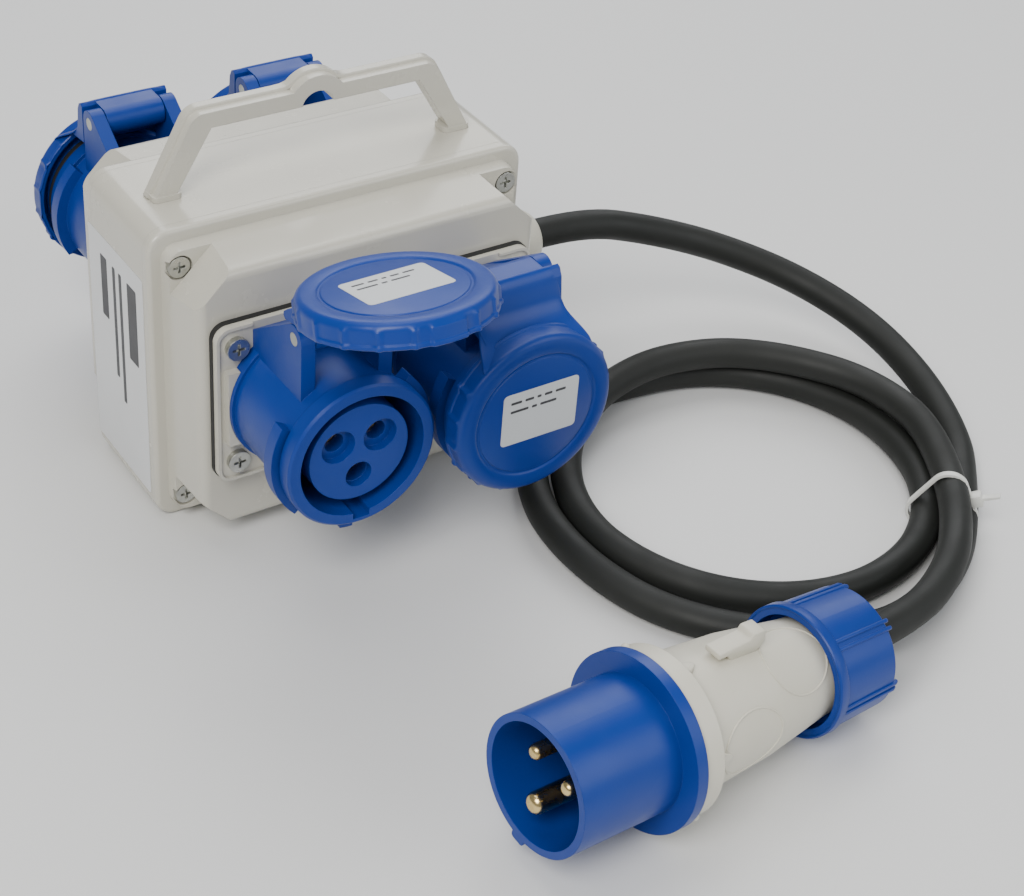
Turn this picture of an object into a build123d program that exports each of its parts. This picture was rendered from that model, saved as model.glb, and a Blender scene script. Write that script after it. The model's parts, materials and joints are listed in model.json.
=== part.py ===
from build123d import *
from math import atan, cos, degrees, pi, radians, sin, tan
import os

# Portable power distribution box: a moulded case with two sockets on each face, a carrying
# handle, and a supply lead with its plug.  Millimetres, +Z up.  The origin is the middle of
# the case's underside, +X points along the case to the cable gland, -Y to the front sockets.

# ---- case -----------------------------------------------------------------------------
CASE_LENGTH = 142.0
CASE_HEIGHT = 114.0
CASE_MID_Z = CASE_HEIGHT / 2
CASE_CORNER = 7.5
CASE_WALL = 4.0
HOUSING_HALF = 20.0          # the middle shell reaches this far each way along Y
RIM_THICK = 4.0
RIM_FACE = HOUSING_HALF + RIM_THICK
PANEL = 45.5                 # the socket panel's distance from the middle plane
STEP_INSET = 4.6             # from the outline in to the foot of the raised panel
PANEL_INSET_X = 7.2
PANEL_INSET_Z = 6.5
COVER_WALL = 3.0
POCKET_FLOOR = 29.0
POCKET_LEG = 25.4            # a corner pocket's legs, along the two edges
COVER_SCREW_X = 62.0
COVER_SCREW_Z = 45.8
SCREW_SEAT = 26.5
SCREW_BORE = 1.95            # the cover screws' radius in the posts
SCREW_CLEARANCE = 2.1        # and through the covers
SCREW_COUNTERBORE = 4.5
SCREW_BORE_DEPTH = 7.0
RIM_ROUND = 1.6
PANEL_ROUND = 3.5
POST_RADIUS = 6.0
SEAL_INSET = 1.3
SEAL_WIDTH = 1.4
SEAL_DEPTH = 1.5

# ---- flanged sockets ------------------------------------------------------------------
SOCKET_X = 30.3
SOCKET_Z = 59.5
FLANGE_WIDTH = 59.4
FLANGE_HEIGHT = 60.8
FLANGE_SCREW_PITCH = 45.0
GASKET_THICK = 2.0
FLANGE_PLATE = 4.0           # the plate's outer face, measured out from the panel
FLANGE_PAD = 7.0
FLANGE_CORNER = 5.0
FLANGE_LIP = 0.8             # the plate's raised edge
FLANGE_POCKET = 13.0         # the pad's corner pockets, for the screws
FLANGE_SCREW_BORE = 1.65
BOSS_RADIUS = 4.0            # the cover's screw bosses, behind the panel
BOSS_DEPTH = 8.0
PANEL_HOLE = 23.0            # radius
BASE_RADIUS = 26.5
TUBE_RADIUS = 25.3
BAYONET_RADIUS = 29.2
MOUTH_RADIUS = 26.8
WELL_RADIUS = 22.5
WELL_FLOOR = 8.0
MOUTH = 48.0                 # the socket mouth, measured out from the panel
INSERT_RADIUS = 18.0
INSERT_FACE = 45.5
INSERT_REAR = -20.0
INSERT_REAR_RADIUS = 20.6
KEYWAY_WIDTH = 6.0
KEYWAY_DEPTH = 2.2
BAND_WIDTH = 5.0             # the bayonet bands under the mouth ring
CONTACT_PITCH_RADIUS = 8.8   # three contacts, 120 degrees apart, the earth at the bottom
CONTACT_ANGLES = (30, 150, 270)
POLE_PIN = 2.5               # radius of a line or neutral pin
EARTH_PIN = 3.5

# ---- hinge and lid --------------------------------------------------------------------
PIN_OUT = 31.5               # the hinge pin, out from the panel
PIN_RISE = 40.0              # and above the socket's axis
PIN_RADIUS = 2.3
KNUCKLE_RADIUS = 5.0
EAR_INNER = 11.4
EAR_OUTER = 16.4
EAR_FOOT = 27.5              # where the ears' backs meet the flange
ARM_HALF = 16.5
ARM_GAP = 0.5
LID_RADIUS = 30.0
LID_WALL = 1.2
LID_RISE = 1.5
LID_SKIRT = 48.6
LID_FACE = 56.0
LID_TOP = 2.6
LID_ROUND = 1.3
SEAL_OUTER = 26.2            # the seal and its ring in the lid press on the mouth
SEAL_INNER = 22.9
SEAL_THICK = 2.4
SEAL_GAP = 0.25
LID_OPEN = 103.0             # how far the front left lid stands open

# ---- handle, gland, inside ------------------------------------------------------------
HANDLE_WIDTH = 7.0
HANDLE_Y = -3.0
HANDLE_TOP = 142.4
HANDLE_BAR = 5.6
HANDLE_SCREW_X = 55.0
HANDLE_PAD = 2.0
HANDLE_FOOT_OUTER = 60.0     # the legs lean in from here to the bar's ends
HANDLE_FOOT_INNER = 52.8
HANDLE_BAR_OUTER = 45.0
HANDLE_BAR_INNER = 39.0
HANDLE_ROUND = 6.0
HUMP_RADIUS = 11.5           # the hump in the middle of the bar
HUMP_DROP = 7.0
ARCH_RADIUS = 6.2            # and the arch under it
ARCH_DROP = 1.6
CABLE_RADIUS = 5.8
GLAND_FLANGE = 6.0
GLAND_LENGTH = 24.0
GLAND_HEX = 12.5             # half across flats
GLAND_NUT_RADIUS = 12.0
GLAND_END_RADIUS = 8.6
THREAD_RADIUS = 10.0
LOCKNUT_THICK = 5.0
CABLE_END_X = 57.0
BLOCK_LENGTH = 40.0
BLOCK_WIDTH = 16.0
BLOCK_HEIGHT = 18.0
TERMINAL_PITCH = 12.0
TUNNEL_RADIUS = 3.0          # the block's clamp tunnels
TUNNEL_DEPTH = 10.0
WIRE_RADIUS = 1.4

# ---- plug, measured back along its axis from the collar's mouth -------------------------
PLUG_MOUTH_XY = (-45.6, -219.9)
PLUG_HEADING = 5.07
PLUG_ROLL = 7.0
COLLAR_RADIUS = 22.0
COLLAR_WALL = 2.5
COLLAR_LENGTH = 38.0
PLUG_FLANGE_RADIUS = 28.5
PLUG_FLANGE_END = 41.0
PLUG_RING_RADIUS = 27.0
PLUG_RING_END = 49.0
PLUG_SPIGOT = 24.0
PLUG_SHOULDER = 22.5         # the body's radius behind its ring
PLUG_WAIST = 20.5
PLUG_WAIST_AT = 80.0
PLUG_NECK = 16.8             # and where the nut begins
PLUG_BODY_END = 116.0
PLUG_BODY_BORE = 12.0
CLIP_HALF = 3.5
NUT_START = 103.5
NUT_END = 131.8
NUT_FRONT_RADIUS = 21.4
NUT_REAR_RADIUS = 20.4
NUT_BORE = 18.8
EARTH_PIN_TIP = 0.6
POLE_PIN_TIP = 3.4
PIN_END = 46.0
PLUG_PITCH = degrees(atan((PLUG_FLANGE_RADIUS - NUT_REAR_RADIUS) / (NUT_END - PLUG_FLANGE_END)))

# ---- cable ----------------------------------------------------------------------------
# Points of the cable's middle line, where it isn't coiled.
LEAD_ROUTE = [
    (95.0, 0.0, 57.0),
    (119.0, 0.0, 57.0),
    (149.0, -4.0, 47.5),
    (178.0, -12.5, 36.5),
    (203.0, -33.0, 26.5),
    (217.0, -63.0, 18.5),
    (218.0, -96.0, 11.5),
    (207.0, -128.0, 6.8),
]
TAIL_RUN = 30.0              # straight back from the plug's nut
TAIL_ROUTE = [
    (143.0, -193.0, 19.0),
    (165.0, -172.0, 17.5),
    (181.0, -149.0, 16.5),
]
COIL_LOW_CENTRE = (122.0, -115.0)
COIL_LOW_RADIUS = 85.0
COIL_TOP_CENTRE = (122.0, -112.0)
COIL_TOP_RADIUS = 80.0
COIL_HOLE_CENTRE = (122.0, -106.0)
COIL_HOLE_X = 58.5
COIL_HOLE_Y = 62.0
COIL_TOP = 22.4
TIE_AT = (176.0, -160.5)
TIE_TURN = -45.0             # the strap crosses the coil's strands here

FACES = {
    "front": Plane(origin=(0, 0, CASE_MID_Z), x_dir=(1, 0, 0), z_dir=(0, -1, 0)),
    "rear": Plane(origin=(0, 0, CASE_MID_Z), x_dir=(-1, 0, 0), z_dir=(0, 1, 0)),
}
SIDES = {"left": -1, "right": 1}


def write(builder, label):
    builder.part.label = label
    export_step(builder.part, f"parts/{label}.step")


def socket_face(face_name, side_name):
    """A plane on the panel, on a socket's axis: x along the case, y up, z outward."""
    face = FACES[face_name]
    along = SIDES[side_name] * SOCKET_X
    origin = (along, face.z_dir.Y * PANEL, SOCKET_Z)
    return Plane(origin=origin, x_dir=face.x_dir, z_dir=face.z_dir)


def side_plane(face):
    """The plane through a socket's axis that shows its side: x outward, y up."""
    return Plane(origin=face.origin, x_dir=face.z_dir, z_dir=-face.x_dir)


def pin_point(face):
    return face.from_local_coords(Vector(0, PIN_RISE, PIN_OUT))


def swung(face, angle):
    """The socket plane carried round the hinge pin, as the lid is when it opens."""
    pivot = pin_point(face)
    turn = Axis((0, 0, 0), -face.x_dir)
    origin = pivot + (face.origin - pivot).rotate(turn, angle)
    return Plane(origin=origin, x_dir=face.x_dir, z_dir=face.z_dir.rotate(turn, angle))


def corner_prisms(leg):
    """The four corner triangles of the case outline, as a sketch's faces."""
    for sx in (-1, 1):
        for sz in (-1, 1):
            x = sx * CASE_LENGTH / 2
            z = sz * CASE_HEIGHT / 2
            Polygon((x, z), (x - sx * leg, z), (x, z - sz * leg), align=None)


# ---- case shells ------------------------------------------------------------------------
def make_housing():
    middle = FACES["front"]
    screw_places = GridLocations(2 * COVER_SCREW_X, 2 * COVER_SCREW_Z, 2, 2)
    inner_corner = CASE_CORNER - CASE_WALL
    with BuildPart() as housing:
        with BuildSketch(middle):
            RectangleRounded(CASE_LENGTH, CASE_HEIGHT, CASE_CORNER)
            RectangleRounded(
                CASE_LENGTH - 2 * CASE_WALL,
                CASE_HEIGHT - 2 * CASE_WALL,
                inner_corner,
                mode=Mode.SUBTRACT,
            )
            with screw_places:
                Circle(POST_RADIUS)
        extrude(amount=HOUSING_HALF, both=True)
        for face in FACES.values():
            with BuildSketch(face.offset(HOUSING_HALF)):
                with screw_places:
                    Circle(SCREW_BORE)
            extrude(amount=-SCREW_BORE_DEPTH, mode=Mode.SUBTRACT)
            with BuildSketch(face.offset(HOUSING_HALF)):
                seal_outline()
            extrude(amount=-SEAL_DEPTH, mode=Mode.SUBTRACT)
        with BuildSketch(Plane(origin=(CASE_LENGTH / 2, 0, CASE_MID_Z), z_dir=(1, 0, 0))):
            Circle(THREAD_RADIUS + 0.1)
        extrude(amount=-CASE_WALL, mode=Mode.SUBTRACT)
        with BuildSketch(Plane.XY.offset(CASE_HEIGHT)):
            with Locations((-HANDLE_SCREW_X, HANDLE_Y), (HANDLE_SCREW_X, HANDLE_Y)):
                Circle(1.6)
        extrude(amount=-CASE_WALL, mode=Mode.SUBTRACT)
    write(housing, "housing")


def seal_outline():
    outer_length = CASE_LENGTH - 2 * SEAL_INSET
    outer_height = CASE_HEIGHT - 2 * SEAL_INSET
    outer_corner = CASE_CORNER - SEAL_INSET
    RectangleRounded(outer_length, outer_height, outer_corner)
    RectangleRounded(
        outer_length - 2 * SEAL_WIDTH,
        outer_height - 2 * SEAL_WIDTH,
        outer_corner - SEAL_WIDTH,
        mode=Mode.SUBTRACT,
    )


def make_cover_seal(name):
    with BuildPart() as seal:
        with BuildSketch(FACES[name].offset(HOUSING_HALF)):
            seal_outline()
        extrude(amount=-SEAL_DEPTH)
    write(seal, f"{name}_cover_seal")


def make_cover(name):
    face = FACES[name]
    outward = Axis((0, 0, 0), face.z_dir)
    foot_length = CASE_LENGTH - 2 * STEP_INSET
    foot_height = CASE_HEIGHT - 2 * STEP_INSET
    panel_length = CASE_LENGTH - 2 * PANEL_INSET_X
    panel_height = CASE_HEIGHT - 2 * PANEL_INSET_Z
    socket_row = Locations(
        (-SOCKET_X, SOCKET_Z - CASE_MID_Z), (SOCKET_X, SOCKET_Z - CASE_MID_Z)
    )
    screw_places = GridLocations(2 * COVER_SCREW_X, 2 * COVER_SCREW_Z, 2, 2)
    with BuildPart() as cavity:
        with BuildSketch(face.offset(HOUSING_HALF)):
            RectangleRounded(foot_length - 2 * COVER_WALL, foot_height - 2 * COVER_WALL, 3.0)
        with BuildSketch(face.offset(PANEL - COVER_WALL)):
            RectangleRounded(panel_length - 2 * COVER_WALL, panel_height - 2 * COVER_WALL, 3.0)
        loft()
        with BuildSketch(face.offset(HOUSING_HALF)):
            corner_prisms(POCKET_LEG + 1.4 * COVER_WALL)
        extrude(amount=PANEL, mode=Mode.SUBTRACT)
    with BuildPart() as cover:
        with BuildSketch(face.offset(HOUSING_HALF)):
            RectangleRounded(CASE_LENGTH, CASE_HEIGHT, CASE_CORNER)
        extrude(amount=RIM_THICK)
        fillet(cover.faces().sort_by(outward)[-1].edges(), RIM_ROUND)
        with BuildSketch(face.offset(RIM_FACE)):
            RectangleRounded(foot_length, foot_height, 5.0)
        with BuildSketch(face.offset(PANEL)):
            RectangleRounded(panel_length, panel_height, 4.0)
        loft()
        fillet(cover.faces().sort_by(outward)[-1].edges(), PANEL_ROUND)
        with BuildSketch(face.offset(POCKET_FLOOR)):
            corner_prisms(POCKET_LEG)
        extrude(amount=PANEL, mode=Mode.SUBTRACT)
        add(cavity.part, mode=Mode.SUBTRACT)
        with BuildSketch(face.offset(PANEL - COVER_WALL)):
            with socket_row:
                with GridLocations(FLANGE_SCREW_PITCH, FLANGE_SCREW_PITCH, 2, 2):
                    Circle(BOSS_RADIUS)
        extrude(amount=-BOSS_DEPTH)
        with BuildSketch(face.offset(PANEL)):
            with socket_row:
                Circle(PANEL_HOLE)
                with GridLocations(FLANGE_SCREW_PITCH, FLANGE_SCREW_PITCH, 2, 2):
                    Circle(FLANGE_SCREW_BORE)
        extrude(amount=-COVER_WALL - BOSS_DEPTH, mode=Mode.SUBTRACT)
        with BuildSketch(face.offset(POCKET_FLOOR)):
            with screw_places:
                Circle(SCREW_COUNTERBORE)
        extrude(amount=SCREW_SEAT - POCKET_FLOOR, mode=Mode.SUBTRACT)
        with BuildSketch(face.offset(SCREW_SEAT)):
            with screw_places:
                Circle(SCREW_CLEARANCE)
        extrude(amount=HOUSING_HALF - SCREW_SEAT, mode=Mode.SUBTRACT)
    write(cover, f"{name}_cover")


def make_screws(label, seats, head_radius, head_height, shank_radius, shank_length):
    """Pan-head cross-recess screws, one on each seat plane, as separate solids."""
    recess = head_radius * 0.55
    with BuildPart() as screws:
        for seat in seats:
            with BuildSketch(seat):
                Circle(head_radius)
            extrude(amount=head_height)
            with BuildSketch(seat):
                Circle(shank_radius)
            extrude(amount=-shank_length)
            with BuildSketch(seat.offset(head_height)):
                Rectangle(2 * recess, 0.9)
                Rectangle(0.9, 2 * recess)
            extrude(amount=-0.6 * head_height, mode=Mode.SUBTRACT)
    write(screws, label)


def cover_screw_seats():
    seats = []
    for face in FACES.values():
        for sx in (-1, 1):
            for sz in (-1, 1):
                place = Vector(sx * COVER_SCREW_X, sz * COVER_SCREW_Z, SCREW_SEAT)
                spot = face.from_local_coords(place)
                seats.append(Plane(origin=spot, x_dir=face.x_dir, z_dir=face.z_dir))
    return seats


def flange_screw_seats():
    seats = []
    half = FLANGE_SCREW_PITCH / 2
    for face_name in FACES:
        for side_name in SIDES:
            face = socket_face(face_name, side_name)
            for sx in (-half, half):
                for sz in (-half, half):
                    spot = face.from_local_coords(Vector(sx, sz, FLANGE_PLATE))
                    seats.append(Plane(origin=spot, x_dir=face.x_dir, z_dir=face.z_dir))
    return seats


# ---- one flanged socket -----------------------------------------------------------------
def make_gasket(face, label):
    with BuildPart() as gasket:
        with BuildSketch(face):
            RectangleRounded(FLANGE_WIDTH + 0.6, FLANGE_HEIGHT + 0.6, FLANGE_CORNER + 0.3)
            Circle(PANEL_HOLE, mode=Mode.SUBTRACT)
            with GridLocations(FLANGE_SCREW_PITCH, FLANGE_SCREW_PITCH, 2, 2):
                Circle(FLANGE_SCREW_BORE, mode=Mode.SUBTRACT)
        extrude(amount=GASKET_THICK)
    write(gasket, f"{label}_gasket")


def make_flange(face, label):
    pad_width = FLANGE_WIDTH - 6.0
    pad_height = FLANGE_HEIGHT - 6.0
    with BuildPart() as flange:
        with BuildSketch(face.offset(GASKET_THICK)):
            RectangleRounded(FLANGE_WIDTH, FLANGE_HEIGHT, FLANGE_CORNER)
        extrude(amount=FLANGE_PLATE - GASKET_THICK)
        with BuildSketch(face.offset(FLANGE_PLATE)):
            RectangleRounded(FLANGE_WIDTH, FLANGE_HEIGHT, FLANGE_CORNER)
            RectangleRounded(FLANGE_WIDTH - 2.4, FLANGE_HEIGHT - 2.4, 3.8, mode=Mode.SUBTRACT)
        extrude(amount=FLANGE_LIP)
        with BuildSketch(face.offset(FLANGE_PLATE)):
            RectangleRounded(pad_width, pad_height, 2.0)
            with GridLocations(pad_width, pad_height, 2, 2):
                RectangleRounded(2 * FLANGE_POCKET, 2 * FLANGE_POCKET, 3.0, mode=Mode.SUBTRACT)
        extrude(amount=FLANGE_PAD - FLANGE_PLATE)
        with BuildSketch(face.offset(FLANGE_PLATE)):
            Circle(BASE_RADIUS + 0.05)
            with Locations((0, FLANGE_HEIGHT / 2 - 4)):
                Rectangle(2 * EAR_OUTER + 0.4, 12)
        extrude(amount=FLANGE_PAD, mode=Mode.SUBTRACT)
        with BuildSketch(face):
            Circle(PANEL_HOLE)
            with GridLocations(FLANGE_SCREW_PITCH, FLANGE_SCREW_PITCH, 2, 2):
                Circle(FLANGE_SCREW_BORE)
        extrude(amount=FLANGE_PAD, mode=Mode.SUBTRACT)
    write(flange, f"{label}_flange")


def ring_sector(inner, outer, start, sweep):
    """A face bounded by two arcs about the sketch's origin."""
    with BuildLine() as outline:
        far = CenterArc((0, 0), outer, start, sweep)
        near = CenterArc((0, 0), inner, start, sweep)
        Line(far @ 0, near @ 0)
        Line(far @ 1, near @ 1)
    make_face(outline.edges())


def make_socket_body(face, label):
    side = side_plane(face)
    spigot = PANEL_HOLE - 0.2
    axis = Axis(face.origin, face.z_dir)
    with BuildPart() as body:
        with BuildSketch(side):
            with BuildLine():
                Polyline(
                    (-4, spigot - 2),
                    (-4, spigot),
                    (FLANGE_PLATE, spigot),
                    (FLANGE_PLATE, BASE_RADIUS),
                    (WELL_FLOOR + 0.5, BASE_RADIUS),
                    (WELL_FLOOR + 0.5, TUBE_RADIUS),
                    (MOUTH - 6, TUBE_RADIUS),
                    (MOUTH - 6, MOUTH_RADIUS),
                    (MOUTH - 0.8, MOUTH_RADIUS),
                    (MOUTH, MOUTH_RADIUS - 0.8),
                    (MOUTH, WELL_RADIUS),
                    (WELL_FLOOR, WELL_RADIUS),
                    (WELL_FLOOR, INSERT_RADIUS + 0.1),
                    (FLANGE_PLATE, INSERT_RADIUS + 0.1),
                    (FLANGE_PLATE, spigot - 2),
                    close=True,
                )
            make_face()
        revolve(axis=axis)
        for edge in (-EAR_OUTER, EAR_INNER):
            with BuildSketch(side.offset(edge)):
                ear_outline()
            extrude(amount=EAR_OUTER - EAR_INNER)
        with BuildSketch(side):
            with BuildLine():
                Polyline(
                    (FLANGE_PLATE, 17),
                    (FLANGE_PLATE, EAR_FOOT),
                    (17, 35.2),
                    (17, 32.2),
                    (7, 26.3),
                    (7, 17),
                    close=True,
                )
            make_face()
        extrude(amount=EAR_INNER, both=True)
        with BuildSketch(face.offset(MOUTH - 12)):
            ring_sector(TUBE_RADIUS - 1, BAYONET_RADIUS, 150, 75)
            ring_sector(TUBE_RADIUS - 1, BAYONET_RADIUS, -30, 75)
        extrude(amount=BAND_WIDTH)
        with BuildSketch(face.offset(MOUTH - 7.5)):
            ring_sector(TUBE_RADIUS - 1, BAYONET_RADIUS + 0.6, 258, 9)
        extrude(amount=4.5)
        with BuildSketch(face.offset(WELL_FLOOR)):
            Circle(WELL_RADIUS)
            with Locations((0, -WELL_RADIUS)):
                Rectangle(KEYWAY_WIDTH, 2 * KEYWAY_DEPTH)
        extrude(amount=MOUTH, mode=Mode.SUBTRACT)
        with BuildSketch(face.offset(FLANGE_PLATE)):
            Circle(INSERT_RADIUS + 0.1)
        extrude(amount=MOUTH, mode=Mode.SUBTRACT)
        with BuildSketch(side):
            with Locations((PIN_OUT, PIN_RISE)):
                Circle(PIN_RADIUS + 0.05)
        extrude(amount=EAR_OUTER + 1, both=True, mode=Mode.SUBTRACT)
    write(body, f"{label}_socket_body")


def ear_outline():
    """One hinge ear from the side: a sloping back, a round top about the pin, a straight front."""
    foot = 15.0
    with BuildLine() as outline:
        Polyline(
            (PIN_OUT + KNUCKLE_RADIUS, PIN_RISE),
            (PIN_OUT + KNUCKLE_RADIUS, foot),
            (FLANGE_PLATE, foot),
            (FLANGE_PLATE, EAR_FOOT),
            (PIN_OUT - 3.2, PIN_RISE + 3.84),
        )
        ThreePointArc(
            (PIN_OUT - 3.2, PIN_RISE + 3.84),
            (PIN_OUT + 1.6, PIN_RISE + 4.737),
            (PIN_OUT + KNUCKLE_RADIUS, PIN_RISE),
        )
    make_face(outline.edges())


def make_insert(face, label):
    with BuildPart() as insert:
        with BuildSketch(face.offset(INSERT_REAR)):
            Circle(INSERT_REAR_RADIUS)
        extrude(amount=FLANGE_PLATE - INSERT_REAR)
        with BuildSketch(face.offset(FLANGE_PLATE)):
            Circle(INSERT_RADIUS)
        extrude(amount=INSERT_FACE - FLANGE_PLATE)
        for angle in CONTACT_ANGLES:
            earth = angle == 270
            bore = EARTH_PIN + 0.9 if earth else POLE_PIN + 0.9
            recess = bore + 0.3 if earth else 6.0
            spot = face.from_local_coords(contact_point(angle, 0))
            contact = Plane(origin=spot, x_dir=face.x_dir, z_dir=face.z_dir)
            with BuildSketch(contact):
                Circle(bore)
            extrude(amount=INSERT_FACE, mode=Mode.SUBTRACT)
            with BuildSketch(contact.offset(INSERT_FACE)):
                Circle(recess)
            extrude(amount=-3.0, mode=Mode.SUBTRACT)
    write(insert, f"{label}_contact_insert")


def contact_point(angle, out):
    across = CONTACT_PITCH_RADIUS * cos(radians(angle))
    up = CONTACT_PITCH_RADIUS * sin(radians(angle))
    return Vector(across, up, out)


def make_contact_sleeves():
    """The twelve brass sleeves that take the plug pins."""
    with BuildPart() as sleeves:
        for face_name in FACES:
            for side_name in SIDES:
                face = socket_face(face_name, side_name)
                for angle in CONTACT_ANGLES:
                    pin = EARTH_PIN if angle == 270 else POLE_PIN
                    spot = face.from_local_coords(contact_point(angle, 0))
                    with BuildSketch(Plane(origin=spot, x_dir=face.x_dir, z_dir=face.z_dir)):
                        Circle(pin + 0.85)
                        Circle(pin + 0.05, mode=Mode.SUBTRACT)
                    extrude(amount=INSERT_FACE - 8)
    write(sleeves, "contact_sleeves")


# ---- lids -------------------------------------------------------------------------------
def make_lid(face, label):
    side = side_plane(face)
    outward = Axis((0, 0, 0), face.z_dir)
    centre = face.from_local_coords(Vector(0, LID_RISE, 0))
    lid_face = Plane(origin=centre, x_dir=face.x_dir, z_dir=face.z_dir)
    plate_near = PIN_OUT + KNUCKLE_RADIUS + ARM_GAP
    with BuildPart() as lid:
        with BuildSketch(lid_face.offset(LID_SKIRT)):
            Circle(LID_RADIUS)
        extrude(amount=LID_FACE - LID_SKIRT)
        fillet(lid.faces().sort_by(outward)[-1].edges(), LID_ROUND)
        with BuildSketch(side):
            with BuildLine():
                Polyline(
                    (plate_near, 30),
                    (plate_near, PIN_RISE + 4.2),
                    (plate_near + 1.2, PIN_RISE + 5.2),
                    (plate_near + 2.6, PIN_RISE + 4.6),
                    (plate_near + 4.0, PIN_RISE + 2.0),
                    (plate_near + 5.0, 34.0),
                    (plate_near + 8.5, 31.0),
                    (LID_FACE - 3.0, 26.0),
                    (LID_SKIRT, 26.0),
                    (LID_SKIRT, 28.6),
                    close=True,
                )
            make_face()
        extrude(amount=ARM_HALF, both=True)
        with BuildSketch(side):
            with Locations((PIN_OUT, PIN_RISE)):
                Circle(KNUCKLE_RADIUS)
            with BuildLine():
                Polyline(
                    (PIN_OUT, PIN_RISE + KNUCKLE_RADIUS),
                    (plate_near + 1, PIN_RISE + KNUCKLE_RADIUS),
                    (plate_near + 1, PIN_RISE - KNUCKLE_RADIUS),
                    (PIN_OUT, PIN_RISE - KNUCKLE_RADIUS),
                    close=True,
                )
            make_face()
        extrude(amount=EAR_INNER - 0.4, both=True)
        with BuildSketch(lid_face.offset(LID_SKIRT)):
            Circle(LID_RADIUS - LID_WALL)
        extrude(amount=LID_FACE - LID_TOP - LID_SKIRT, mode=Mode.SUBTRACT)
        with BuildSketch(face.offset(LID_FACE - LID_TOP)):
            Circle(SEAL_OUTER)
            Circle(SEAL_INNER, mode=Mode.SUBTRACT)
        extrude(amount=MOUTH + SEAL_THICK - LID_FACE + LID_TOP)
        with BuildSketch(side):
            with Locations((PIN_OUT, PIN_RISE)):
                Circle(PIN_RADIUS + 0.08)
        extrude(amount=ARM_HALF, both=True, mode=Mode.SUBTRACT)
    write(lid, f"{label}_lid")


def make_lid_seal(face, label):
    with BuildPart() as seal:
        with BuildSketch(face.offset(MOUTH + SEAL_GAP)):
            Circle(SEAL_OUTER)
            Circle(SEAL_INNER, mode=Mode.SUBTRACT)
        extrude(amount=SEAL_THICK - SEAL_GAP)
    write(seal, f"{label}_lid_seal")


def make_hinge_pins():
    with BuildPart() as pins:
        for face_name in FACES:
            for side_name in SIDES:
                face = socket_face(face_name, side_name)
                with BuildSketch(Plane(origin=pin_point(face), x_dir=face.z_dir, z_dir=face.x_dir)):
                    Circle(PIN_RADIUS)
                extrude(amount=EAR_OUTER, both=True)
    write(pins, "hinge_pins")


# ---- handle -----------------------------------------------------------------------------
def make_handle():
    bar_under = HANDLE_TOP - HANDLE_BAR
    with BuildPart() as handle:
        with BuildSketch(Plane.XZ.offset(-HANDLE_Y)) as side_view:
            with BuildLine():
                Polyline(
                    (-HANDLE_FOOT_OUTER, CASE_HEIGHT),
                    (-HANDLE_BAR_OUTER, HANDLE_TOP),
                    (HANDLE_BAR_OUTER, HANDLE_TOP),
                    (HANDLE_FOOT_OUTER, CASE_HEIGHT),
                    (HANDLE_FOOT_INNER, CASE_HEIGHT),
                    (HANDLE_BAR_INNER, bar_under),
                    (-HANDLE_BAR_INNER, bar_under),
                    (-HANDLE_FOOT_INNER, CASE_HEIGHT),
                    close=True,
                )
            make_face()
            fillet(side_view.vertices().group_by(Axis.Y)[-1], HANDLE_ROUND)
            with Locations((0, HANDLE_TOP - HUMP_DROP)):
                Circle(HUMP_RADIUS)
            with Locations((0, bar_under - HUMP_RADIUS)):
                Rectangle(3 * HUMP_RADIUS, 2 * HUMP_RADIUS, mode=Mode.SUBTRACT)
            with Locations((0, bar_under - ARCH_DROP)):
                Circle(ARCH_RADIUS, mode=Mode.SUBTRACT)
        extrude(amount=HANDLE_WIDTH / 2, both=True)
        with BuildSketch(Plane.XY.offset(CASE_HEIGHT)):
            with Locations((-HANDLE_SCREW_X, HANDLE_Y), (HANDLE_SCREW_X, HANDLE_Y)):
                RectangleRounded(10.5, HANDLE_WIDTH + 1.0, 2.0)
        extrude(amount=HANDLE_PAD)
        with BuildSketch(Plane.XY.offset(CASE_HEIGHT)):
            with Locations((-HANDLE_SCREW_X, HANDLE_Y), (HANDLE_SCREW_X, HANDLE_Y)):
                Circle(1.3)
        extrude(amount=5.0, mode=Mode.SUBTRACT)
    write(handle, "handle")


# ---- cable gland, on an axis along X ------------------------------------------------------
def gland_plane(x):
    return Plane(origin=(x, 0, CASE_MID_Z), x_dir=(0, 1, 0), z_dir=(1, 0, 0))


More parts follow.
